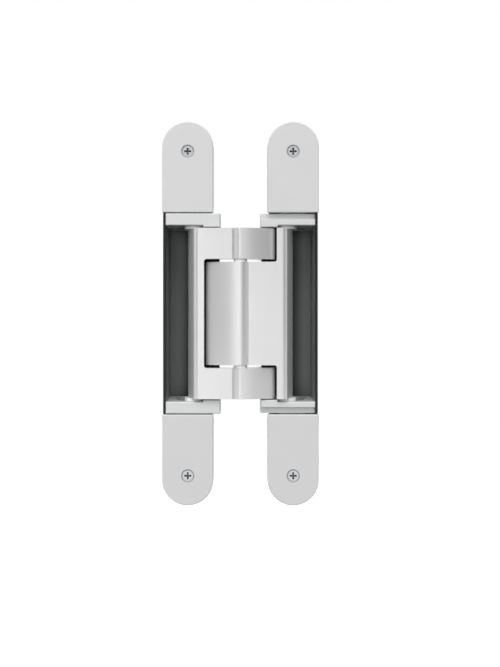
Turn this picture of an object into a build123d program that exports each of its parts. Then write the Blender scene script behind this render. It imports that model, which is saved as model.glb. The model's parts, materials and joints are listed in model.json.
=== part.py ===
from build123d import *
import math
import os

# Concealed hinge for a flush door, shown fully open, with both leaves side by side.
# Origin: centre of the frame leaf's fixing holes, on the seat face of its flange.
# +X runs from the frame leaf to the door leaf, +Y into the door, +Z up the hinge. Millimetres.
# In the names below, w is the distance from the middle plane between the leaves, half is
# a height from the middle of the hinge, and depth is measured back from the cover plates' faces.

os.makedirs("parts", exist_ok=True)

# Overall form
hinge_length = 240.0
plate_width = 32.0
leaf_pitch = 66.0  # centre line of one leaf to the other, door open
leaf_gap = 5.0  # between the cover plates, door closed
middle_x = leaf_pitch / 2
plate_w = leaf_pitch / 2
plate_half = plate_width / 2
plate_inner_w = plate_w - plate_half
plate_outer_w = plate_w + plate_half
half_length = hinge_length / 2

# Cover plates and the flange under them
cover_length = 56.8
cover_thickness = 3.5
cover_edge = 0.4
flange_thickness = 4.0
seat_depth = cover_thickness + flange_thickness
cover_screw_end = 18.5  # screw centre to the end of the plate
fixing_end = 9.0
fixing_spacing = 18.0
fixing_hole_radius = 2.6
fixing_head_radius = 4.9
cover_start = half_length - cover_length
cover_screw_half = half_length - cover_screw_end

# Play between parts
running_gap = 0.05
thrust_gap = 0.1
seat_gap = 0.3
plate_gap = 0.5

# Heights of the pivot blocks, the arms between them and what joins the two
block_height = 8.65
slot_face_drop = 1.15  # the block is lower round its slot
arm_gap = 0.75
lug_height = 19.3  # upper and lower lug of the outer arm
lug_gap = 1.8
slide_ring_height = 4.3
slot_end_gap = 0.2
pin_cover = 1.8  # left of the block beyond the fixed pin
block_half = cover_start - plate_gap
pocket_half = block_half - block_height
slot_face_half = pocket_half + slot_face_drop
arm_half = pocket_half - arm_gap
lug_half = arm_half - lug_height
tongue_half = lug_half - lug_gap
slide_ring_end = arm_half + slide_ring_height
slot_floor = slide_ring_end + slot_end_gap
pivot_pin_half = block_half - pin_cover

# Linkage, door open
pivot_w = plate_inner_w - 0.8
pivot_depth = 9.5
centre_depth = 2.0
slide_w = plate_w - 3.35
slide_depth = 9.0

# Arms
bar_w = slide_w - 6.95  # inner edge of the bars
bar_end_w = slide_w + 0.35
bar_round = 4.0
bar_back_radius = 3.0
web_thickness = 5.8
web_drop = 0.8  # web face below the crown of the centre knuckle
centre_knuckle_radius = 5.6
pivot_knuckle_radius = 5.7
slide_boss_radius = 3.5
slope_web_radius = 3.0
slope_crown = 0.7  # the slope's face bulges this much
slope_start = math.radians(4)  # turn of the centre knuckle where the slope leaves it
slope_end = math.radians(15)  # turn of the shoulder where the slope meets it
shoulder_w = pivot_w + 0.9  # rounded shoulder in front of the pivot
shoulder_depth = 5.2
shoulder_radius = 4.8
groove_radius = 1.1
groove_w = 3.9
window_round = 1.6
web_front = centre_depth - centre_knuckle_radius + web_drop
web_radius = web_thickness / 2

# Pins, bushes and slide rings
pin_radius = 3.0
slide_pin_radius = 2.5
pivot_bush_radius = 4.0
centre_bush_radius = 4.2
bush_length = 12.0
slide_ring_radius = 5.9
slot_gap = 0.15

# The centre pin swings about the fixed pivot, from the middle plane at open
# to the middle of the gap between the cover plates at closed.
link_length = math.hypot(pivot_w, pivot_depth - centre_depth)
closed_rise = pivot_depth + leaf_gap / 2
closed_centre_w = pivot_w + math.sqrt(link_length ** 2 - closed_rise ** 2)
link_start = math.atan2(pivot_depth - centre_depth, pivot_w)
link_end = math.atan2(closed_rise, pivot_w - closed_centre_w)
link_turn = link_end - link_start
slide_reach = math.hypot(slide_w, slide_depth - centre_depth)
slide_start = math.atan2(slide_depth - centre_depth, slide_w)
slot_arcs = 3


def slide_centre(fraction):
    """Where a slide pin stands in its leaf, from 0 at open to 1 at closed."""
    link_angle = link_start + fraction * link_turn
    slide_angle = slide_start + fraction * (math.pi - link_turn)
    w = pivot_w - link_length * math.cos(link_angle) + slide_reach * math.cos(slide_angle)
    depth = pivot_depth - link_length * math.sin(link_angle) + slide_reach * math.sin(slide_angle)
    return w, depth


# Adjustments
side_travel = 3.0  # frame leaf, in and out
height_travel = 3.0  # door leaf, up and down

# Housings
housing_wall = 1.4
housing_back = 1.5
housing_w = plate_outer_w - 0.6  # outer face of the outer wall
side_wall_w = plate_inner_w - 2.8  # inner face of the side wall, deep in the pocket
side_wall_depth = pivot_depth + 9.5  # the arms pass in front of this wall
wall_front = 0.4
trough_w = plate_inner_w + 2.0  # inner face of the trough behind the cover plates
trough_round = 7.0  # corners left by the cutter that sinks the mortise
back_edge = 0.7
block_gap = 0.2
flange_start = block_half + height_travel + plate_gap
housing_inner_w = housing_w - housing_wall
trough_inner_w = trough_w + housing_wall

# Pivot blocks
slot_back = 1.9  # left of the block behind its slot
block_edge = 0.5
block_w = plate_inner_w - 4.4  # inner edge of the blocks
block_step_depth = pivot_depth + 6.0
block_depth = slide_centre(1)[1] + slide_ring_radius + slot_gap + slot_back
slot_face_w = slide_w - slide_ring_radius - slot_gap - seat_gap
block_outer_w = housing_inner_w - block_gap
block_inner_w = side_wall_w + housing_wall + block_gap
back_inner_depth = block_depth + side_travel + plate_gap
housing_depth = back_inner_depth + housing_back

# Side adjustment on the frame leaf
side_screw_radius = 3.0
side_head_radius = 4.5
side_head_height = 2.8
side_hex = 4.0
side_boss_depth = seat_depth + 3.0
side_boss_radius = 6.5
side_clip_thickness = 1.0
side_clip_radius = 5.0
tongue_width = 16.0
side_tongue_thickness = 11.0
side_screw_half = flange_start + side_boss_radius + seat_gap
side_tongue_half = side_screw_half + side_boss_radius
side_tongue_depth = side_boss_depth + side_clip_thickness + side_travel + seat_gap + thrust_gap
side_screw_end_depth = side_tongue_depth + side_tongue_thickness + 2 * side_travel + plate_gap
trough_half = side_tongue_half + side_boss_radius

# Height adjustment on the door leaf
front_step = 3.8  # the step that shows in front, the slack of the adjustment
front_step_depth = 4.0
clamp_radius = 2.5
clamp_head_radius = 4.5
clamp_head_height = 2.2
clamp_hex = 3.0
clamp_nut_size = (14.0, 10.0)
clamp_nut_thickness = 4.0
height_tongue_thickness = 5.0
height_tongue_end = 7.0
clamp_half = flange_start + height_tongue_end + seat_gap
height_tongue_half = clamp_half + height_tongue_end
height_tongue_depth = seat_depth + seat_gap

# Screw details
cover_head_radius = 3.9  # mouth of the countersink in the cover plate
cover_head_sink = 0.5  # the head lies this deep in it
cover_screw_radius = 2.0
cover_screw_length = 9.0
recess_span = 4.4
recess_width = 1.2
recess_depth = 1.8
recess_taper = 14
core_width = 1.8  # the recess widens to a diamond in the middle
core_depth = 1.1
tap_gap = 0.05

frame_side = -1
door_side = 1


def x_at(side, w):
    """Place a distance from the middle plane on the frame or the door side."""
    return middle_x + side * w


def y_at(depth):
    """Place a depth behind the cover plates' faces."""
    return depth - seat_depth


def finish(part, name):
    """Name a finished piece and write it."""
    part.label = name
    export_step(part, f"parts/{name}.step")


def add_block(side, w_span, depth_span, height_span, mode=Mode.ADD):
    """A straight block given by its spans across, back and up."""
    with BuildSketch(Plane.XY.offset(min(height_span))) as outline:
        with Locations((x_at(side, sum(w_span) / 2), y_at(sum(depth_span) / 2))):
            Rectangle(abs(w_span[1] - w_span[0]), depth_span[1] - depth_span[0])
    extrude(outline.sketch, amount=abs(height_span[1] - height_span[0]), mode=mode)


def add_turned(points, centre, along, mode=Mode.ADD):
    """Turn an outline of (radius, distance) points about an axis."""
    across = Vector(1, 0, 0)
    with BuildSketch(Plane(origin=centre, x_dir=across, z_dir=across.cross(Vector(along)))) as outline:
        with BuildLine():
            Polyline(points, close=True)
        make_face()
    revolve(outline.sketch, axis=Axis(centre, along), mode=mode)


def add_tube(centre, outer_radius, inner_radius, height_span):
    """A plain upright tube."""
    with BuildSketch(Plane.XY.offset(min(height_span))) as outline:
        with Locations(centre):
            Circle(outer_radius)
            Circle(inner_radius, mode=Mode.SUBTRACT)
    extrude(outline.sketch, amount=abs(height_span[1] - height_span[0]))


def cut_bore(centre, radius, height_span):
    """A plain upright bore."""
    with BuildSketch(Plane.XY.offset(min(height_span))) as outline:
        with Locations(centre):
            Circle(radius)
    extrude(outline.sketch, amount=abs(height_span[1] - height_span[0]), mode=Mode.SUBTRACT)


def plate_outline(side, end, start):
    """A plate with a half-round outer end and a square inner end, seen from the front."""
    with Locations((x_at(side, plate_w), end * (half_length - plate_half))):
        Circle(plate_half)
    with Locations((x_at(side, plate_w), end * (start + half_length - plate_half) / 2)):
        Rectangle(plate_width, half_length - plate_half - start)


def cut_hex_socket(centre, across_flats, depth):
    """A hexagon socket that opens to the front."""
    with BuildSketch(Plane(origin=centre, x_dir=(1, 0, 0), z_dir=(0, 1, 0))) as outline:
        RegularPolygon(across_flats / 2, 6, major_radius=False)
    extrude(outline.sketch, amount=depth, mode=Mode.SUBTRACT)


def add_trough(side, w_span, half, corner, depth_span, mode=Mode.ADD):
    """A deep block with rounded ends, seen from the front."""
    with BuildSketch(Plane.XZ.offset(-y_at(depth_span[1]))) as outline:
        with Locations((x_at(side, sum(w_span) / 2), 0)):
            RectangleRounded(w_span[1] - w_span[0], 2 * half, corner)
    extrude(outline.sketch, amount=depth_span[1] - depth_span[0], mode=mode)


def make_housing(side):
    """Trough with a side wall at the back, end boxes and two rounded flanges."""
    with BuildPart() as housing:
        outer_w = (trough_w, housing_w)
        add_trough(side, outer_w, trough_half, trough_round, (cover_thickness, housing_depth))
        pocket = (-block_half, block_half)
        add_block(side, (side_wall_w, housing_w), (wall_front, housing_depth), pocket)
        chamfer(housing.faces().sort_by(Axis.Y)[-1].edges(), back_edge)
        # hollow of the end boxes, behind the flanges
        inner_w = (trough_inner_w, housing_inner_w)
        inner_half = trough_half - housing_wall
        inner_round = trough_round - housing_wall
        add_trough(side, inner_w, inner_half, inner_round, (seat_depth, back_inner_depth), Mode.SUBTRACT)
        # the pocket, open to the front, and to the middle in front of the side wall
        pocket_w = (side_wall_w + housing_wall, housing_inner_w)
        add_block(side, pocket_w, (0, back_inner_depth), pocket, Mode.SUBTRACT)
        add_block(side, (0, side_wall_w + housing_wall), (0, side_wall_depth), pocket, Mode.SUBTRACT)
        neck = (-flange_start, flange_start)
        add_block(side, (trough_w, housing_inner_w), (cover_thickness, back_inner_depth), neck, Mode.SUBTRACT)
        for end in (1, -1):
            with BuildSketch(Plane.XZ.offset(-y_at(seat_depth))):
                plate_outline(side, end, flange_start)
            extrude(amount=flange_thickness)
            add_adjuster_seat(side, end)
            # fixing holes, countersunk from the front, and the tapped hole for the cover screw
            for step in (0, fixing_spacing):
                at = (x_at(side, plate_w), y_at(cover_thickness), end * (half_length - fixing_end - step))
                lip = fixing_head_radius - fixing_hole_radius
                hole = [(0, 0), (fixing_head_radius, 0), (fixing_hole_radius, lip),
                        (fixing_hole_radius, flange_thickness), (0, flange_thickness)]
                add_turned(hole, at, (0, 1, 0), Mode.SUBTRACT)
            at = (x_at(side, plate_w), y_at(cover_thickness), end * cover_screw_half)
            tapped = [(0, 0), (cover_screw_radius, 0),
                      (cover_screw_radius, flange_thickness), (0, flange_thickness)]
            add_turned(tapped, at, (0, 1, 0), Mode.SUBTRACT)
    return housing.part


def add_adjuster_seat(side, end):
    """The counterbored seat of the adjusting or clamping screw in the flange."""
    if side == frame_side:
        height, head, head_height = side_screw_half, side_head_radius, side_head_height
        shank, back = side_screw_radius, side_boss_depth
        boss = [(0, seat_depth), (side_boss_radius, seat_depth), (side_boss_radius, back), (0, back)]
        add_turned(boss, (x_at(side, plate_w), y_at(0), end * height), (0, 1, 0))
    else:
        height, head, head_height = clamp_half, clamp_head_radius, clamp_head_height
        shank, back = clamp_radius, seat_depth
    head_wall = head + running_gap
    shank_wall = shank + running_gap
    shoulder = cover_thickness + seat_gap + head_height
    seat = [(0, cover_thickness), (head_wall, cover_thickness), (head_wall, shoulder),
            (shank_wall, shoulder), (shank_wall, back), (0, back)]
    add_turned(seat, (x_at(side, plate_w), y_at(0), end * height), (0, 1, 0), Mode.SUBTRACT)


def make_cover(side, end):
    """Flat cover plate with a fine edge and a countersunk screw hole."""
    with BuildPart() as cover:
        with BuildSketch(Plane.XZ.offset(-y_at(cover_thickness))):
            plate_outline(side, end, cover_start)
        extrude(amount=cover_thickness)
        chamfer(cover.faces().sort_by(Axis.Y)[0].edges(), cover_edge)
        sink = cover_head_radius - cover_screw_radius
        hole_wall = cover_screw_radius + seat_gap
        hole = [(0, 0), (cover_head_radius, 0), (hole_wall, sink - seat_gap),
                (hole_wall, cover_thickness), (0, cover_thickness)]
        at = (x_at(side, plate_w), y_at(0), end * cover_screw_half)
        add_turned(hole, at, (0, 1, 0), Mode.SUBTRACT)
    return cover.part


def make_cover_screws(side):
    """The two countersunk cover screws of one leaf, with cross recesses."""
    with BuildPart() as screws:
        for end in (1, -1):
            at = (x_at(side, plate_w), y_at(0), end * cover_screw_half)
            sink = cover_head_radius - cover_screw_radius
            shape = [(0, cover_head_sink), (cover_head_radius - cover_head_sink, cover_head_sink),
                     (cover_screw_radius, sink), (cover_screw_radius, cover_screw_length),
                     (0, cover_screw_length)]
            add_turned(shape, at, (0, 1, 0))
            face = Plane(origin=(at[0], y_at(cover_head_sink), at[2]), x_dir=(1, 0, 0), z_dir=(0, 1, 0))
            with BuildSketch(face):
                Rectangle(recess_span, recess_width)
                Rectangle(recess_width, recess_span)
            extrude(amount=recess_depth, taper=recess_taper, mode=Mode.SUBTRACT)
            with BuildSketch(face):
                Rectangle(core_width, core_width, rotation=45)
            extrude(amount=core_depth, mode=Mode.SUBTRACT)
    return screws.part


def make_pivot_block(side, end):
    """End block that holds the fixed pivot pin and guides the slide ring in its slot."""
    height = (end * pocket_half, end * block_half)
    with BuildPart() as block:
        add_block(side, (block_w, block_outer_w), (0, block_step_depth), height)
        add_block(side, (block_inner_w, block_outer_w), (0, block_depth), height)
        # lower face round the slot
        lowered = (end * pocket_half, end * slot_face_half)
        add_block(side, (slot_face_w, block_outer_w), (0, block_depth), lowered, Mode.SUBTRACT)
        if side == door_side:
            stepped = (end * (block_half - front_step), end * block_half)
            add_block(side, (block_w, block_outer_w), (0, front_step_depth), stepped, Mode.SUBTRACT)
        chamfer(block.faces().sort_by(Axis.Y)[0].edges(), block_edge)
        add_adjuster_tongue(side, end)
        cut_slide_slot(side, end)
        pivot = (x_at(side, pivot_w), y_at(pivot_depth))
        cut_bore(pivot, pin_radius, (end * pocket_half, end * pivot_pin_half))
    return block.part


def add_adjuster_tongue(side, end):
    """The tongue behind the flange that the adjusting screw moves or the clamp holds."""
    tongue_w = (plate_w - tongue_width / 2, plate_w + tongue_width / 2)
    if side == frame_side:
        depth = (side_tongue_depth, side_tongue_depth + side_tongue_thickness)
        add_block(side, tongue_w, depth, (end * block_half, end * side_tongue_half))
        wall = side_screw_radius + tap_gap
        bore = [(0, depth[0]), (wall, depth[0]), (wall, depth[1]), (0, depth[1])]
        add_turned(bore, (x_at(side, plate_w), y_at(0), end * side_screw_half), (0, 1, 0), Mode.SUBTRACT)
    else:
        depth = (height_tongue_depth, height_tongue_depth + height_tongue_thickness)
        add_block(side, tongue_w, depth, (end * block_half, end * height_tongue_half))
        with BuildSketch(Plane.XZ.offset(-y_at(depth[1]))) as slot:
            with Locations((x_at(side, plate_w), end * clamp_half)):
                SlotCenterToCenter(2 * height_travel, 2 * (clamp_radius + seat_gap), rotation=90)
        extrude(slot.sketch, amount=height_tongue_thickness, mode=Mode.SUBTRACT)


def cut_slide_slot(side, end):
    """The curved blind slot along the path that the slide ring follows through the fold."""
    path = [slide_centre(step / (2 * slot_arcs)) for step in range(2 * slot_arcs + 1)]
    points = [(x_at(side, w), y_at(depth)) for w, depth in path]
    height = (end * slot_face_half, end * slot_floor)
    with BuildSketch(Plane.XY.offset(min(height))) as slot:
        for first in range(0, 2 * slot_arcs, 2):
            arc = Edge.make_three_point_arc(*points[first:first + 3])
            SlotArc(arc, 2 * (slide_ring_radius + slot_gap))
    extrude(slot.sketch, amount=slot_floor - slot_face_half, mode=Mode.SUBTRACT)


def join_circles(side, first, first_radius, second, second_radius):
    """A web with round ends between two (w, depth) points."""
    edges = []
    for (w, depth), radius in ((first, first_radius), (second, second_radius)):
        edges.append(Edge.make_circle(radius).moved(Location((x_at(side, w), y_at(depth), 0))))
    make_hull(edges)


def add_slope(side):
    """The crowned slope from the centre knuckle down to the shoulder in front of the pivot."""
    shoulder = (-shoulder_w, shoulder_depth)
    join_circles(side, (-pivot_w, pivot_depth), pivot_knuckle_radius, shoulder, shoulder_radius)
    crown = centre_depth - centre_knuckle_radius + slope_web_radius
    foot = pivot_depth - pivot_knuckle_radius + slope_web_radius
    join_circles(side, (0, crown), slope_web_radius, (-pivot_w, foot), slope_web_radius)
    start_w = centre_knuckle_radius * math.sin(slope_start)
    start_depth = centre_depth - centre_knuckle_radius * math.cos(slope_start)
    end_w = shoulder_w + shoulder_radius * math.sin(slope_end)
    end_depth = shoulder_depth - shoulder_radius * math.cos(slope_end)
    start = (x_at(side, -start_w), y_at(start_depth))
    end = (x_at(side, -end_w), y_at(end_depth))
    with BuildLine() as face:
        SagittaArc(start, end, side * slope_crown)
        Polyline(end, (x_at(side, -shoulder_w), y_at(shoulder_depth)),
                 (x_at(side, 0), y_at(centre_depth)), start)
    make_face(face.edges())


def arm_section(side):
    """Section of an arm whose slide pin lies on the given side and its pivot on the other."""
    web_depth = web_front + web_radius
    bar_front_w = bar_end_w - bar_round
    join_circles(side, (centre_knuckle_radius, web_depth), web_radius, (bar_front_w, web_depth), web_radius)
    front = (bar_front_w, web_front + bar_round)
    join_circles(side, front, bar_round, (slide_w, slide_depth), slide_boss_radius)
    join_circles(side, front, bar_round, (bar_end_w - bar_back_radius, slide_depth), bar_back_radius)
    with Locations((x_at(side, groove_w), y_at(web_front))):
        Circle(groove_radius, mode=Mode.SUBTRACT)
    add_slope(side)
    with Locations((x_at(side, 0), y_at(centre_depth))):
        Circle(centre_knuckle_radius)


def cut_arm_window(side, low, high):
    """Clear the arm between two heights, from past its pivot end up to the bar, with round corners."""
    reach = pivot_w + 2 * pivot_knuckle_radius
    with BuildSketch(Plane.XZ.offset(-y_at(housing_depth))) as window:
        with Locations((x_at(side, (bar_w - reach) / 2), (low + high) / 2)):
            RectangleRounded(bar_w + reach, high - low, window_round)
    extrude(window.sketch, amount=2 * housing_depth, mode=Mode.SUBTRACT)


def make_inner_arm():
    """T-shaped arm: pivots in the frame leaf, slides in the door leaf."""
    side = door_side
    with BuildPart() as arm:
        with BuildSketch(Plane.XY.offset(-arm_half)):
            arm_section(side)
        extrude(amount=2 * arm_half)
        cut_arm_window(side, tongue_half, arm_half + 2 * window_round)
        cut_arm_window(side, -arm_half - 2 * window_round, -tongue_half)
        whole = (-arm_half, arm_half)
        cut_bore((x_at(side, 0), y_at(centre_depth)), centre_bush_radius, whole)
        cut_bore((x_at(side, -pivot_w), y_at(pivot_depth)), pivot_bush_radius, whole)
        cut_bore((x_at(side, slide_w), y_at(slide_depth)), slide_pin_radius, whole)
    return arm.part


def make_outer_arm():
    """C-shaped arm: pivots in the door leaf, slides in the frame leaf."""
    side = frame_side
    with BuildPart() as arm:
        with BuildSketch(Plane.XY.offset(-arm_half)):
            arm_section(side)
        extrude(amount=2 * arm_half)
        cut_arm_window(side, -lug_half, lug_half)
        whole = (-arm_half, arm_half)
        cut_bore((x_at(side, 0), y_at(centre_depth)), pin_radius, whole)
        cut_bore((x_at(side, -pivot_w), y_at(pivot_depth)), pivot_bush_radius, whole)
        cut_bore((x_at(side, slide_w), y_at(slide_depth)), slide_pin_radius, whole)
    return arm.part


def make_pin(centre, radius, half):
    """Plain upright pin."""
    with BuildPart() as pin:
        with BuildSketch(Plane.XY.offset(-half)):
            with Locations(centre):
                Circle(radius)
        extrude(amount=2 * half)
    return pin.part


def make_bushes(centre, outer_radius, spans):
    """Upright bearing bushes on one axis, running on the pin."""
    with BuildPart() as bushes:
        for span in spans:
            add_tube(centre, outer_radius, pin_radius + running_gap, span)
    return bushes.part


def make_slide_rings(side):
    """The two glide rings at the ends of a slide pin."""
    centre = (x_at(side, slide_w), y_at(slide_depth))
    with BuildPart() as rings:
        for end in (1, -1):
            add_tube(centre, slide_ring_radius, slide_pin_radius, (end * arm_half, end * slide_ring_end))
    return rings.part


def make_side_screw(end):
    """Captive screw that moves the frame blocks in and out."""
    at = (x_at(frame_side, plate_w), y_at(0), end * side_screw_half)
    head_front = cover_thickness + seat_gap
    shoulder = head_front + side_head_height
    with BuildPart() as screw:
        outline = [(0, head_front), (side_head_radius, head_front), (side_head_radius, shoulder),
                   (side_screw_radius, shoulder), (side_screw_radius, side_screw_end_depth),
                   (0, side_screw_end_depth)]
        add_turned(outline, at, (0, 1, 0))
        socket = (at[0], y_at(head_front), at[2])
        cut_hex_socket(socket, side_hex, side_head_height - running_gap)
    return screw.part


def make_side_clip(end):
    """Retaining ring behind the flange that keeps the adjusting screw captive."""
    front = side_boss_depth + thrust_gap
    back = front + side_clip_thickness
    with BuildPart() as clip:
        outline = [(side_screw_radius, front), (side_clip_radius, front),
                   (side_clip_radius, back), (side_screw_radius, back)]
        at = (x_at(frame_side, plate_w), y_at(0), end * side_screw_half)
        add_turned(outline, at, (0, 1, 0))
    return clip.part


def make_clamp_screws():
    """The two screws that clamp the door blocks at their height."""
    head_front = cover_thickness + seat_gap
    shoulder = head_front + clamp_head_height
    tip = height_tongue_depth + height_tongue_thickness + seat_gap + clamp_nut_thickness
    with BuildPart() as screws:
        for end in (1, -1):
            at = (x_at(door_side, plate_w), y_at(0), end * clamp_half)
            outline = [(0, head_front), (clamp_head_radius, head_front), (clamp_head_radius, shoulder),
                       (clamp_radius, shoulder), (clamp_radius, tip), (0, tip)]
            add_turned(outline, at, (0, 1, 0))
            cut_hex_socket((at[0], y_at(head_front), at[2]), clamp_hex, clamp_head_height - running_gap)
    return screws.part


def make_clamp_nuts():
    """The two clamp plates behind the tongues of the door blocks."""
    front = height_tongue_depth + height_tongue_thickness + seat_gap
    with BuildPart() as nuts:
        for end in (1, -1):
            with BuildSketch(Plane.XZ.offset(-y_at(front + clamp_nut_thickness))):
                with Locations((x_at(door_side, plate_w), end * clamp_half)):
                    Rectangle(*clamp_nut_size)
                    Circle(clamp_radius, mode=Mode.SUBTRACT)
            extrude(amount=clamp_nut_thickness)
    return nuts.part


leaf_names = {frame_side: "frame", door_side: "door"}
end_names = {1: "top", -1: "bottom"}

for side, leaf in leaf_names.items():
    finish(make_housing(side), f"{leaf}_housing")
    finish(make_cover_screws(side), f"{leaf}_cover_screws")
    pivot = (x_at(side, pivot_w), y_at(pivot_depth))
    finish(make_pin(pivot, pin_radius, pivot_pin_half), f"{leaf}_pivot_pin")
    for end, end_name in end_names.items():
        finish(make_cover(side, end), f"{leaf}_cover_{end_name}")
        finish(make_pivot_block(side, end), f"{leaf}_block_{end_name}")

finish(make_inner_arm(), "inner_arm")
finish(make_outer_arm(), "outer_arm")

centre = (middle_x, y_at(centre_depth))
finish(make_pin(centre, pin_radius, arm_half), "centre_pin")
centre_bush_end = lug_half - thrust_gap
centre_spans = [(end * (centre_bush_end - bush_length), end * centre_bush_end) for end in (1, -1)]
finish(make_bushes(centre, centre_bush_radius, centre_spans), "centre_bushes")

inner_pivot = (x_at(frame_side, pivot_w), y_at(pivot_depth))
inner_spans = [(end * (tongue_half - bush_length), end * tongue_half) for end in (1, -1)]
finish(make_bushes(inner_pivot, pivot_bush_radius, inner_spans), "inner_arm_bushes")
outer_pivot = (x_at(door_side, pivot_w), y_at(pivot_depth))
outer_spans = [(end * lug_half, end * (pocket_half - thrust_gap)) for end in (1, -1)]
finish(make_bushes(outer_pivot, pivot_bush_radius, outer_spans), "outer_arm_bushes")

for arm_name, side in (("inner_arm", door_side), ("outer_arm", frame_side)):
    slide = (x_at(side, slide_w), y_at(slide_depth))
    finish(make_pin(slide, slide_pin_radius, slide_ring_end), f"{arm_name}_slide_pin")
    finish(make_slide_rings(side), f"{arm_name}_slide_rings")

for end, end_name in end_names.items():
    finish(make_side_screw(end), f"side_screw_{end_name}")
    finish(make_side_clip(end), f"side_clip_{end_name}")
finish(make_clamp_screws(), "height_clamp_screws")
finish(make_clamp_nuts(), "height_clamp_nuts")

print(f"frame and door pivots turn {math.degrees(link_turn):.3f} degrees, open to closed")
print(f"centre pivot turns {180 - 2 * math.degrees(link_turn):.3f} degrees")
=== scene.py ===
import bpy
import bmesh
import json
import math
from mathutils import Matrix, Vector


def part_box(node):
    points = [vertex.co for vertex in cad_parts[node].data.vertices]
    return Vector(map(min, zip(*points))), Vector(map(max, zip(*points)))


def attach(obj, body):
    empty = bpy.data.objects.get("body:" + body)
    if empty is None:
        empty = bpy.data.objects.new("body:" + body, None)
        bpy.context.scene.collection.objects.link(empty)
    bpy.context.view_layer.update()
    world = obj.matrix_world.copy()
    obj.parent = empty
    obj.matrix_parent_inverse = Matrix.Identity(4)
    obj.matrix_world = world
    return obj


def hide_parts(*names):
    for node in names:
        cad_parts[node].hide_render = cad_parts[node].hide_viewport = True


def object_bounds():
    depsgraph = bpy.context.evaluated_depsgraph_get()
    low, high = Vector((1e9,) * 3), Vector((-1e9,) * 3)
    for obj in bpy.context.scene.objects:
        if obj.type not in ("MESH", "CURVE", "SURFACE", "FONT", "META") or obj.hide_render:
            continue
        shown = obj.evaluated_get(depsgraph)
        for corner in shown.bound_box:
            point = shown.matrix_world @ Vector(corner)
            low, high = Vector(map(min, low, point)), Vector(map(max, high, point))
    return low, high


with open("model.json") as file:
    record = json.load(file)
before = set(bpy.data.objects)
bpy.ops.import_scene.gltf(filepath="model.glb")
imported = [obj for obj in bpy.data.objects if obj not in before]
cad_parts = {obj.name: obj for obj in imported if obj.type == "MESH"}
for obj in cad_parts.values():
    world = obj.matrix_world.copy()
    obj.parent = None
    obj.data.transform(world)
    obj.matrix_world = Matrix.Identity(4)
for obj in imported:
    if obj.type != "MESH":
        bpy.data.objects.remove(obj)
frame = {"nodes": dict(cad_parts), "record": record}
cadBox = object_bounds()
cadNodes = frame["nodes"]
slotOf = {entry["node"]: entry["material_slot"] for entry in frame["record"]["subparts"]}
bodies = frame["record"]["behaviour"]["bodies"]
bodyOf = {node: body for body, members in bodies.items() for node in members}
mm = 0.001
white = (1, 1, 1, 1)
lowCorner, highCorner = cadBox
middle = (lowCorner + highCorner) / 2
print("frame loaded,", len(cadNodes), "CAD nodes")


# from an sRGB hex code to the linear colour that a shader takes
def hexToLinear(code):
    channels = [int(code[i:i + 2], 16) / 255 for i in (1, 3, 5)]
    return [c / 12.92 if c <= 0.04045 else ((c + 0.055) / 1.055) ** 2.4 for c in channels] + [1.0]


# sockets take a value or another node's output, settings are the node's own fields
def addNode(tree, kind, sockets=None, **settings):
    node = tree.nodes.new(kind)
    for name, value in settings.items():
        setattr(node, name, value)
    for name, value in (sockets or {}).items():
        if isinstance(value, bpy.types.NodeSocket):
            tree.links.new(value, node.inputs[name])
        else:
            node.inputs[name].default_value = value
    return node


def newMaterial(name):
    material = bpy.data.materials.new(name)
    material.use_nodes = True
    material.node_tree.nodes.clear()
    return material, material.node_tree


def finishMaterial(tree, shader):
    addNode(tree, "ShaderNodeOutputMaterial", {"Surface": shader.outputs[0]})


# painted shade in the countersink round each cover screw and in its recess, a darker tone that
# stands for
# the shade there: from half a metre it gives the thin ring and the dark cross that a screw head
# reads by
paintedScrewShade = {
    "tone": "#4C4D4F", "ringShare": 0.55, "recessShare": 0.6,
    "ringFromMm": 3.1, "ringFullMm": 3.5, "ringThinMm": 4.0, "ringEndMm": 4.3,
    "recessMm": 2.6, "recessFromMm": 0.02, "recessFullMm": 0.15,
}
screwLow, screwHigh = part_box("frame_cover_screws")
screwAside = middle.x - (screwLow.x + screwHigh.x) / 2
screwHeight = screwHigh.z - (screwHigh.x - screwLow.x) / 2
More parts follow.
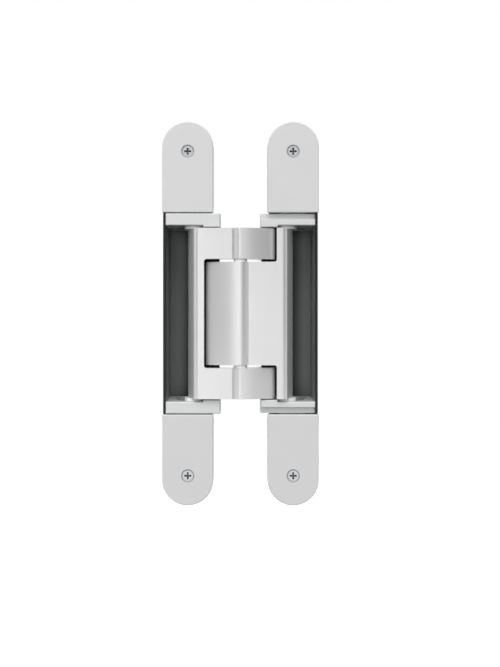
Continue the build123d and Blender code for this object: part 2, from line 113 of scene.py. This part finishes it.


# share of the painted shade, by distance from the axis of the nearest cover screw; both leaves and
# both ends are alike, so one quarter stands for all
def paintedScrewShadeShare(tree, place):
    spot = addNode(tree, "ShaderNodeSeparateXYZ", {"Vector": place})
    sideways = addNode(tree, "ShaderNodeMath", {
        0: spot.outputs["X"], 1: middle.x}, operation="SUBTRACT")
    apart = addNode(tree, "ShaderNodeMath", {0: sideways.outputs[0]}, operation="ABSOLUTE")
    across = addNode(tree, "ShaderNodeMath", {
        0: apart.outputs[0], 1: screwAside}, operation="SUBTRACT")
    upright = addNode(tree, "ShaderNodeMath", {0: spot.outputs["Z"]}, operation="ABSOLUTE")
    along = addNode(tree, "ShaderNodeMath", {
        0: upright.outputs[0], 1: screwHeight}, operation="SUBTRACT")
    offset = addNode(tree, "ShaderNodeCombineXYZ", {"X": across.outputs[0], "Y": along.outputs[0]})
    length = addNode(tree, "ShaderNodeVectorMath", {0: offset.outputs[0]}, operation="LENGTH")
    radius = length.outputs["Value"]
    rising = addNode(tree, "ShaderNodeMapRange", {
        "Value": radius, "From Min": paintedScrewShade["ringFromMm"] * mm, "From Max": paintedScrewShade["ringFullMm"] * mm,
        "To Max": paintedScrewShade["ringShare"]})
    falling = addNode(tree, "ShaderNodeMapRange", {
        "Value": radius, "From Min": paintedScrewShade["ringEndMm"] * mm, "From Max": paintedScrewShade["ringThinMm"] * mm})
    ring = addNode(tree, "ShaderNodeMath", {
        0: rising.outputs["Result"], 1: falling.outputs["Result"]}, operation="MULTIPLY")
    below = addNode(tree, "ShaderNodeMapRange", {
        "Value": spot.outputs["Y"], "From Min": screwLow.y + paintedScrewShade["recessFromMm"] * mm,
        "From Max": screwLow.y + paintedScrewShade["recessFullMm"] * mm, "To Max": paintedScrewShade["recessShare"]})
    near = addNode(tree, "ShaderNodeMath", {
        0: radius, 1: paintedScrewShade["recessMm"] * mm}, operation="LESS_THAN")
    recess = addNode(tree, "ShaderNodeMath", {
        0: below.outputs["Result"], 1: near.outputs[0]}, operation="MULTIPLY")
    both = addNode(tree, "ShaderNodeMath", {
        0: ring.outputs[0], 1: recess.outputs[0]}, operation="MAXIMUM")
    return both.outputs[0]


# satin silver lacquer, sprayed on cast zinc: soft even sheen with a trace of orange peel, and a
# metallic lift that is least on the plates and most on the arms
lacquer = {
    "coverTone": "#C4C4C5", "coverToneLow": "#C0C0C1",
    "coverMetallic": 0.20, "coverRoughness": 0.50,
    "armTone": "#D5D5D6", "armToneLow": "#D0D0D1",
    "armMetallic": 0.60, "armRoughness": 0.32,
    "blockTone": "#CACBCB", "blockToneLow": "#C3C4C4",
    "blockMetallic": 0.30, "blockRoughness": 0.42,
    "cloudMm": 14.0, "cloudDetail": 3.0,
    "peelMm": 0.9, "peelDetail": 1.0, "peelHeightMm": 0.004,
    # about three times as coarse as the real flakes, so that it shows
    "grainMm": 0.12, "grainDetail": 0.0, "grainHeightMm": 0.0015,
}


def lacquerMaterial(name, part):
    material, tree = newMaterial(name)
    place = addNode(tree, "ShaderNodeTexCoord").outputs["Object"]
    cloud = addNode(tree, "ShaderNodeTexNoise", {
        "Vector": place, "Scale": 1 / (lacquer["cloudMm"] * mm), "Detail": lacquer["cloudDetail"]})
    tone = addNode(tree, "ShaderNodeMix", {
        "Factor": cloud.outputs["Fac"], "A": hexToLinear(lacquer[part + "ToneLow"]),
        "B": hexToLinear(lacquer[part + "Tone"])}, data_type="RGBA")
    if part == "cover":
        # painted shade: the cover is darkened in the ring of the countersink round each screw
        tone = addNode(tree, "ShaderNodeMix", {
            "Factor": paintedScrewShadeShare(tree, place), "A": tone.outputs["Result"],
            "B": hexToLinear(paintedScrewShade["tone"])}, data_type="RGBA")
    peel = addNode(tree, "ShaderNodeTexNoise", {
        "Vector": place, "Scale": 1 / (lacquer["peelMm"] * mm), "Detail": lacquer["peelDetail"]})
    grain = addNode(tree, "ShaderNodeTexNoise", {
        "Vector": place, "Scale": 1 / (lacquer["grainMm"] * mm), "Detail": lacquer["grainDetail"]})
    grainBump = addNode(tree, "ShaderNodeBump", {
        "Height": grain.outputs["Fac"], "Distance": lacquer["grainHeightMm"] * mm, "Strength": 1.0})
    peelBump = addNode(tree, "ShaderNodeBump", {
        "Height": peel.outputs["Fac"], "Distance": lacquer["peelHeightMm"] * mm, "Strength": 1.0,
        "Normal": grainBump.outputs["Normal"]})
    shader = addNode(tree, "ShaderNodeBsdfPrincipled", {
        "Base Color": tone.outputs["Result"], "Metallic": lacquer[part + "Metallic"],
        "Roughness": lacquer[part + "Roughness"], "Normal": peelBump.outputs["Normal"]})
    finishMaterial(tree, shader)
    return material


# charcoal powder coat, baked on cast zinc: matte, with a fine pebbled skin that breaks up the
# sheen
powder = {
    "tone": "#303333", "toneLow": "#262929", "cloudMm": 22.0, "cloudDetail": 4.0,
    "metallic": 0.30, "roughness": 0.37,
    # about twice as coarse as the real pebble, so that it shows
    "pebbleMm": 0.35, "pebbleDetail": 2.0, "pebbleHeightMm": 0.02,
    # painted light on the pocket's floor and outer wall, painted shade on its rim
    "floorPaintedLight": "#6A6D6D", "wallPaintedLight": "#9C9F9F", "rimPaintedShade": "#0E0F0F",
    # depth from the flange's seat, and distance from the middle of the hinge
    "deepFromMm": -5.0, "deepToMm": 3.0, "asideFromMm": 36.0, "asideToMm": 42.6,
    # how far a face looks to the front, and distance from the middle where it looks back at it
    "facingFrom": -0.3, "facingTo": -0.8, "inwardFromMm": -10.0, "inwardToMm": -30.0,
}


def powderMaterial(name):
    material, tree = newMaterial(name)
    texture = addNode(tree, "ShaderNodeTexCoord")
    place = texture.outputs["Object"]
    cloud = addNode(tree, "ShaderNodeTexNoise", {
        "Vector": place, "Scale": 1 / (powder["cloudMm"] * mm), "Detail": powder["cloudDetail"]})
    tone = addNode(tree, "ShaderNodeMix", {
        "Factor": cloud.outputs["Fac"], "A": hexToLinear(powder["toneLow"]),
        "B": hexToLinear(powder["tone"])}, data_type="RGBA")

    # painted light and shade in the pocket: its floor and outer wall are painted paler, standing
    # for light that reaches into it, and its rim is painted dark, standing for shade on it
    spot = addNode(tree, "ShaderNodeSeparateXYZ", {"Vector": place})
    facing = addNode(tree, "ShaderNodeSeparateXYZ", {"Vector": texture.outputs["Normal"]})
    sideways = addNode(tree, "ShaderNodeMath", {
        0: spot.outputs["X"], 1: middle.x}, operation="SUBTRACT")
    apart = addNode(tree, "ShaderNodeMath", {0: sideways.outputs[0]}, operation="ABSOLUTE")
    aside = addNode(tree, "ShaderNodeMapRange", {
        "Value": apart.outputs[0], "From Min": powder["asideFromMm"] * mm,
        "From Max": powder["asideToMm"] * mm})
    deep = addNode(tree, "ShaderNodeMapRange", {
        "Value": spot.outputs["Y"], "From Min": powder["deepFromMm"] * mm,
        "From Max": powder["deepToMm"] * mm})
    inPocket = addNode(tree, "ShaderNodeMath", {
        0: deep.outputs["Result"], 1: aside.outputs["Result"]}, operation="MULTIPLY")
    forward = addNode(tree, "ShaderNodeMapRange", {
        "Value": facing.outputs["Y"], "From Min": powder["facingFrom"],
        "From Max": powder["facingTo"]})
    towards = addNode(tree, "ShaderNodeMath", {
        0: sideways.outputs[0], 1: facing.outputs["X"]}, operation="MULTIPLY")
    inward = addNode(tree, "ShaderNodeMapRange", {
        "Value": towards.outputs[0], "From Min": powder["inwardFromMm"] * mm,
        "From Max": powder["inwardToMm"] * mm})
    floorLightShare = addNode(tree, "ShaderNodeMath", {
        0: inPocket.outputs[0], 1: forward.outputs["Result"]}, operation="MULTIPLY")
    wallLightShare = addNode(tree, "ShaderNodeMath", {
        0: inPocket.outputs[0], 1: inward.outputs["Result"]}, operation="MULTIPLY")
    shallow = addNode(tree, "ShaderNodeMath", {
        0: 1.0, 1: deep.outputs["Result"]}, operation="SUBTRACT")
    rimShadeShare = addNode(tree, "ShaderNodeMath", {
        0: shallow.outputs[0], 1: forward.outputs["Result"]}, operation="MULTIPLY")
    for share, toneKey in ((floorLightShare, "floorPaintedLight"), (wallLightShare, "wallPaintedLight"), (rimShadeShare, "rimPaintedShade")):
        tone = addNode(tree, "ShaderNodeMix", {
            "Factor": share.outputs[0], "A": tone.outputs["Result"],
            "B": hexToLinear(powder[toneKey])}, data_type="RGBA")

    pebble = addNode(tree, "ShaderNodeTexNoise", {
        "Vector": place, "Scale": 1 / (powder["pebbleMm"] * mm), "Detail": powder["pebbleDetail"]})
    bump = addNode(tree, "ShaderNodeBump", {
        "Height": pebble.outputs["Fac"], "Distance": powder["pebbleHeightMm"] * mm,
        "Strength": 1.0})
    shader = addNode(tree, "ShaderNodeBsdfPrincipled", {
        "Base Color": tone.outputs["Result"], "Metallic": powder["metallic"],
        "Roughness": powder["roughness"], "Normal": bump.outputs["Normal"]})
    finishMaterial(tree, shader)
    return material


# steel, zinc plated after drawing: pale and satin; steel, ground and then blackened: a dark oxide
# skin that keeps the grinding lines as a streaky sheen; the lines are about four times as wide as
# real ones, so that they show
steel = {
    "plated": {
        "tone": "#C6C7C9", "roughness": 0.50,
        "lineMm": 0.25, "lineHeightMm": 0.003, "axis": "Y"},
    "blackened": {
        "tone": "#2B2C2E", "roughness": 0.38,
        "lineMm": 0.20, "lineHeightMm": 0.002, "axis": "Z"},
    "distortion": 0.6, "detail": 1.0,
}
waveStep = math.tau / 20  # a wave texture at scale 1 repeats at every such step


def steelMaterial(name, kind):
    values = steel[kind]
    material, tree = newMaterial(name)
    place = addNode(tree, "ShaderNodeTexCoord").outputs["Object"]
    lines = addNode(tree, "ShaderNodeTexWave", {
        "Vector": place, "Scale": waveStep / (values["lineMm"] * mm),
        "Distortion": steel["distortion"], "Detail": steel["detail"]},
        wave_type="BANDS", bands_direction=values["axis"])
    bump = addNode(tree, "ShaderNodeBump", {
        "Height": lines.outputs["Fac"], "Distance": values["lineHeightMm"] * mm, "Strength": 1.0})
    # painted shade: darker at the rim of each cover screw's head and in its recess
    tone = addNode(tree, "ShaderNodeMix", {
        "Factor": paintedScrewShadeShare(tree, place), "A": hexToLinear(values["tone"]),
        "B": hexToLinear(paintedScrewShade["tone"])}, data_type="RGBA")
    shader = addNode(tree, "ShaderNodeBsdfPrincipled", {
        "Base Color": tone.outputs["Result"], "Metallic": 1.0, "Roughness": values["roughness"],
        "Normal": bump.outputs["Normal"]})
    finishMaterial(tree, shader)
    return material


# acetal, turned from rod: pale and waxy, with a little light let in at the edges
acetal = {
    "bushTone": "#F0F1EE", "ringTone": "#D4D5D3", "roughness": 0.38, "roughnessSpread": 0.04,
    "mottleMm": 3.0, "lightInside": 0.1, "lightReachMm": 1.0,
}


def acetalMaterial(name, toneKey):
    material, tree = newMaterial(name)
    place = addNode(tree, "ShaderNodeTexCoord").outputs["Object"]
    mottle = addNode(tree, "ShaderNodeTexNoise", {
        "Vector": place, "Scale": 1 / (acetal["mottleMm"] * mm)})
    roughness = addNode(tree, "ShaderNodeMapRange", {
        "Value": mottle.outputs["Fac"],
        "To Min": acetal["roughness"] - acetal["roughnessSpread"],
        "To Max": acetal["roughness"] + acetal["roughnessSpread"]})
    shader = addNode(tree, "ShaderNodeBsdfPrincipled", {
        "Base Color": hexToLinear(acetal[toneKey]), "Roughness": roughness.outputs["Result"],
        "Subsurface Weight": acetal["lightInside"],
        "Subsurface Radius": [acetal["lightReachMm"] * mm] * 3})
    finishMaterial(tree, shader)
    return material


finishes = {
    "cover": lacquerMaterial("satinSilverLacquerCover", "cover"),
    "arm": lacquerMaterial("satinSilverLacquerArm", "arm"),
    "block": lacquerMaterial("satinSilverCastBlock", "block"),
    "housing": powderMaterial("charcoalPowderCoat"),
    "screw": steelMaterial("zincPlatedScrewSteel", "plated"),
    "adjuster": steelMaterial("zincPlatedAdjusterSteel", "plated"),
    "pin": steelMaterial("blackenedPinSteel", "blackened"),
    "bush": acetalMaterial("paleAcetalBush", "bushTone"),
    "glide": acetalMaterial("paleAcetalRing", "ringTone"),
}
print("materials made:", len(finishes))


# how wide the edges of each cast or pressed piece are broken, by its slot, and how that is done
edges = {
    "widthMm": {"cover": 0.5, "block": 0.25, "arm": 0.35, "housing": 0.6},
    "sharpDegrees": 32.0, "segments": 2, "flatDegrees": 0.6, "weldMm": 0.002, "flatWeight": 80,
}


# a copy of a CAD node with its edges broken, as a casting or pressing has them
def softCopy(nodeName, widthMm):
    mesh = cadNodes[nodeName].data.copy()
    mesh.materials.clear()
    piece = bpy.data.objects.new(nodeName + "_soft", mesh)
    bpy.context.scene.collection.objects.link(piece)
    work = bmesh.new()
    work.from_mesh(mesh)
    bmesh.ops.remove_doubles(work, verts=work.verts, dist=edges["weldMm"] * mm)
    bmesh.ops.dissolve_limit(
        work, angle_limit=math.radians(edges["flatDegrees"]), verts=work.verts, edges=work.edges)
    for face in work.faces:
        face.smooth = True
    work.to_mesh(mesh)
    work.free()
    bevel = piece.modifiers.new("brokenEdges", "BEVEL")
    bevel.width = widthMm * mm
    bevel.segments = edges["segments"]
    bevel.limit_method = "ANGLE"
    bevel.angle_limit = math.radians(edges["sharpDegrees"])
    bevel.harden_normals = False
    bevel.use_clamp_overlap = True
    level = piece.modifiers.new("flatFaces", "WEIGHTED_NORMAL")
    level.keep_sharp = True
    level.weight = edges["flatWeight"]
    mesh.materials.append(finishes[slotOf[nodeName]])
    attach(piece, bodyOf[nodeName])
    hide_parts(nodeName)


for nodeName, node in sorted(cadNodes.items()):
    slotName = slotOf[nodeName]
    if slotName in edges["widthMm"]:
        softCopy(nodeName, edges["widthMm"][slotName])
    else:
        node.data.materials.clear()
        node.data.materials.append(finishes[slotName])
print("pieces dressed")


# pale studio floor: it takes the object's shadow, and a little glow lifts it to white for the eye
# and in metal; the light that it throws up is dim, so that undersides stay dark
stage = {
    "floorBelowMm": 170.0, "depthM": 1.6, "widthM": 3.2, "tone": "#8C8C8C",
    "bounceTone": "#202020", "glow": 0.85,
}


# 1 for rays that show the surroundings themselves: to the camera, in metal and through glass
def seenDirectly(tree):
    path = addNode(tree, "ShaderNodeLightPath")
    eyeOrMetal = addNode(tree, "ShaderNodeMath", {
        0: path.outputs["Is Camera Ray"], 1: path.outputs["Is Glossy Ray"]}, operation="MAXIMUM")
    anySeen = addNode(tree, "ShaderNodeMath", {
        0: eyeOrMetal.outputs[0], 1: path.outputs["Is Transmission Ray"]}, operation="MAXIMUM")
    return anySeen.outputs[0]


def stageMaterial(name):
    material, tree = newMaterial(name)
    bounce = addNode(tree, "ShaderNodeMix", {
        "Factor": addNode(tree, "ShaderNodeLightPath").outputs["Is Diffuse Ray"],
        "A": hexToLinear(stage["tone"]), "B": hexToLinear(stage["bounceTone"])}, data_type="RGBA")
    matte = addNode(tree, "ShaderNodeBsdfDiffuse", {"Color": bounce.outputs["Result"]})
    lift = addNode(tree, "ShaderNodeMath", {
        0: seenDirectly(tree), 1: stage["glow"]}, operation="MULTIPLY")
    glow = addNode(tree, "ShaderNodeEmission", {"Color": white, "Strength": lift.outputs[0]})
    both = addNode(tree, "ShaderNodeAddShader", {0: matte.outputs[0], 1: glow.outputs[0]})
    finishMaterial(tree, both)
    return material


def makeStage():
    mesh = bpy.data.meshes.new("floor")
    height = lowCorner.z - stage["floorBelowMm"] * mm
    half, depth = stage["widthM"] / 2, stage["depthM"]
    corners = [(-half, -depth), (half, -depth), (half, depth), (-half, depth)]
    mesh.from_pydata([(middle.x + x, y, height) for x, y in corners], [], [(0, 1, 2, 3)])
    floor = bpy.data.objects.new("floor", mesh)
    bpy.context.scene.collection.objects.link(floor)
    mesh.materials.append(stageMaterial("paleStudioFloor"))


# the sky lights softly from the upper left, and not from below; the eye sees it plain white, and
# metal shows the white backdrop behind the hinge and a dim room on the camera's side
studio = {
    "bright": 1.5, "dim": 0.0, "towards": (-0.40, -0.55, 0.73), "skyFrom": -0.25, "skyTo": 0.75,
    "room": 0.08, "backdrop": 1.0, "roomFrom": -0.1, "roomTo": 0.5,
}


def makeSky():
    world = bpy.data.worlds.new("studio")
    bpy.context.scene.world = world
    world.use_nodes = True
    tree = world.node_tree
    tree.nodes.clear()
    way = addNode(tree, "ShaderNodeTexCoord").outputs["Generated"]
    tilt = addNode(tree, "ShaderNodeVectorMath", {
        0: way, 1: studio["towards"]}, operation="DOT_PRODUCT")
    level = addNode(tree, "ShaderNodeMapRange", {
        "Value": tilt.outputs["Value"], "From Min": studio["skyFrom"], "From Max": studio["skyTo"],
        "To Min": studio["dim"], "To Max": studio["bright"]})
    light = addNode(tree, "ShaderNodeBackground", {
        "Color": white, "Strength": level.outputs["Result"]})
    sides = addNode(tree, "ShaderNodeSeparateXYZ", {"Vector": way})
    behind = addNode(tree, "ShaderNodeMapRange", {
        "Value": sides.outputs["Y"], "From Min": studio["roomFrom"], "From Max": studio["roomTo"],
        "To Min": studio["room"], "To Max": studio["backdrop"]})
    strength = addNode(tree, "ShaderNodeMath", {
        0: addNode(tree, "ShaderNodeLightPath").outputs["Is Camera Ray"],
        1: behind.outputs["Result"]}, operation="MAXIMUM")
    seen = addNode(tree, "ShaderNodeBackground", {"Color": white, "Strength": strength.outputs[0]})
    sky = addNode(tree, "ShaderNodeMixShader", {
        0: seenDirectly(tree), 1: light.outputs[0], 2: seen.outputs[0]})
    addNode(tree, "ShaderNodeOutputWorld", {"Surface": sky.outputs[0]})


# where each lamp stands and its width and height, all in metres, and its power; they all face the
# hinge
lamps = {
    "keyLeft": {"at": (-0.70, -0.95, 0.50), "size": (0.8, 1.0), "watts": 0.6},
    "leftFront": {"at": (-0.20, -1.22, 0.10), "size": (0.14, 0.7), "watts": 0.95},
    "leftSide": {"at": (-1.05, -0.55, 0.40), "size": (0.6, 1.0), "watts": 1.1},
    "leftEdge": {"at": (-1.20, -0.15, 0.20), "size": (0.5, 1.0), "watts": 0.9},
    "frontSoft": {"at": (0.16, -1.30, 0.04), "size": (0.56, 0.5), "watts": 0.85},
    "frontTop": {"at": (0.033, -1.70, 2.10), "size": (2.8, 1.6), "watts": 45.0},
    "rightEdge": {"at": (1.25, -0.20, 0.15), "size": (0.5, 1.0), "watts": 1.4},
}


def makeLamp(name, values):
    light = bpy.data.lights.new(name, "AREA")
    light.shape = "RECTANGLE"
    light.size, light.size_y = values["size"]
    light.energy = values["watts"]
    lamp = bpy.data.objects.new(name, light)
    lamp.location = values["at"]
    lamp.rotation_euler = (middle - Vector(values["at"])).to_track_quat("-Z", "Y").to_euler()
    bpy.context.scene.collection.objects.link(lamp)


makeStage()
makeSky()
for lampName, lampValues in lamps.items():
    makeLamp(lampName, lampValues)
print("stage and lamps set")


# square-on from half a metre, which shows as much of the pockets' side walls as the photograph
# does; objectPx is where the middle of the hinge lies in it
view = {
    "distanceM": 0.50, "pixelsPerMm": 1.6, "longSidePx": 667, "sensorMm": 36.0,
    "objectPx": (240.45, 313.5), "framePx": (500, 667),
}


def makeCamera():
    data = bpy.data.cameras.new("camera")
    camera = bpy.data.objects.new("camera", data)
    bpy.context.scene.collection.objects.link(camera)
    focalPx = view["pixelsPerMm"] * view["distanceM"] / mm
    data.sensor_width = view["sensorMm"]
    data.lens = view["sensorMm"] * focalPx / view["longSidePx"]
    centreX, centreY = (side / 2 for side in view["framePx"])
    data.shift_x = (centreX - view["objectPx"][0]) / view["longSidePx"]
    data.shift_y = (view["objectPx"][1] - centreY) / view["longSidePx"]
    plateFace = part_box("frame_cover_top")[0].y
    camera.location = (middle.x, plateFace - view["distanceM"], middle.z)
    camera.rotation_euler = (math.radians(90), 0, 0)
    bpy.context.scene.camera = camera


makeCamera()
bpy.context.scene.view_settings.view_transform = "Standard"

print("scene ready")
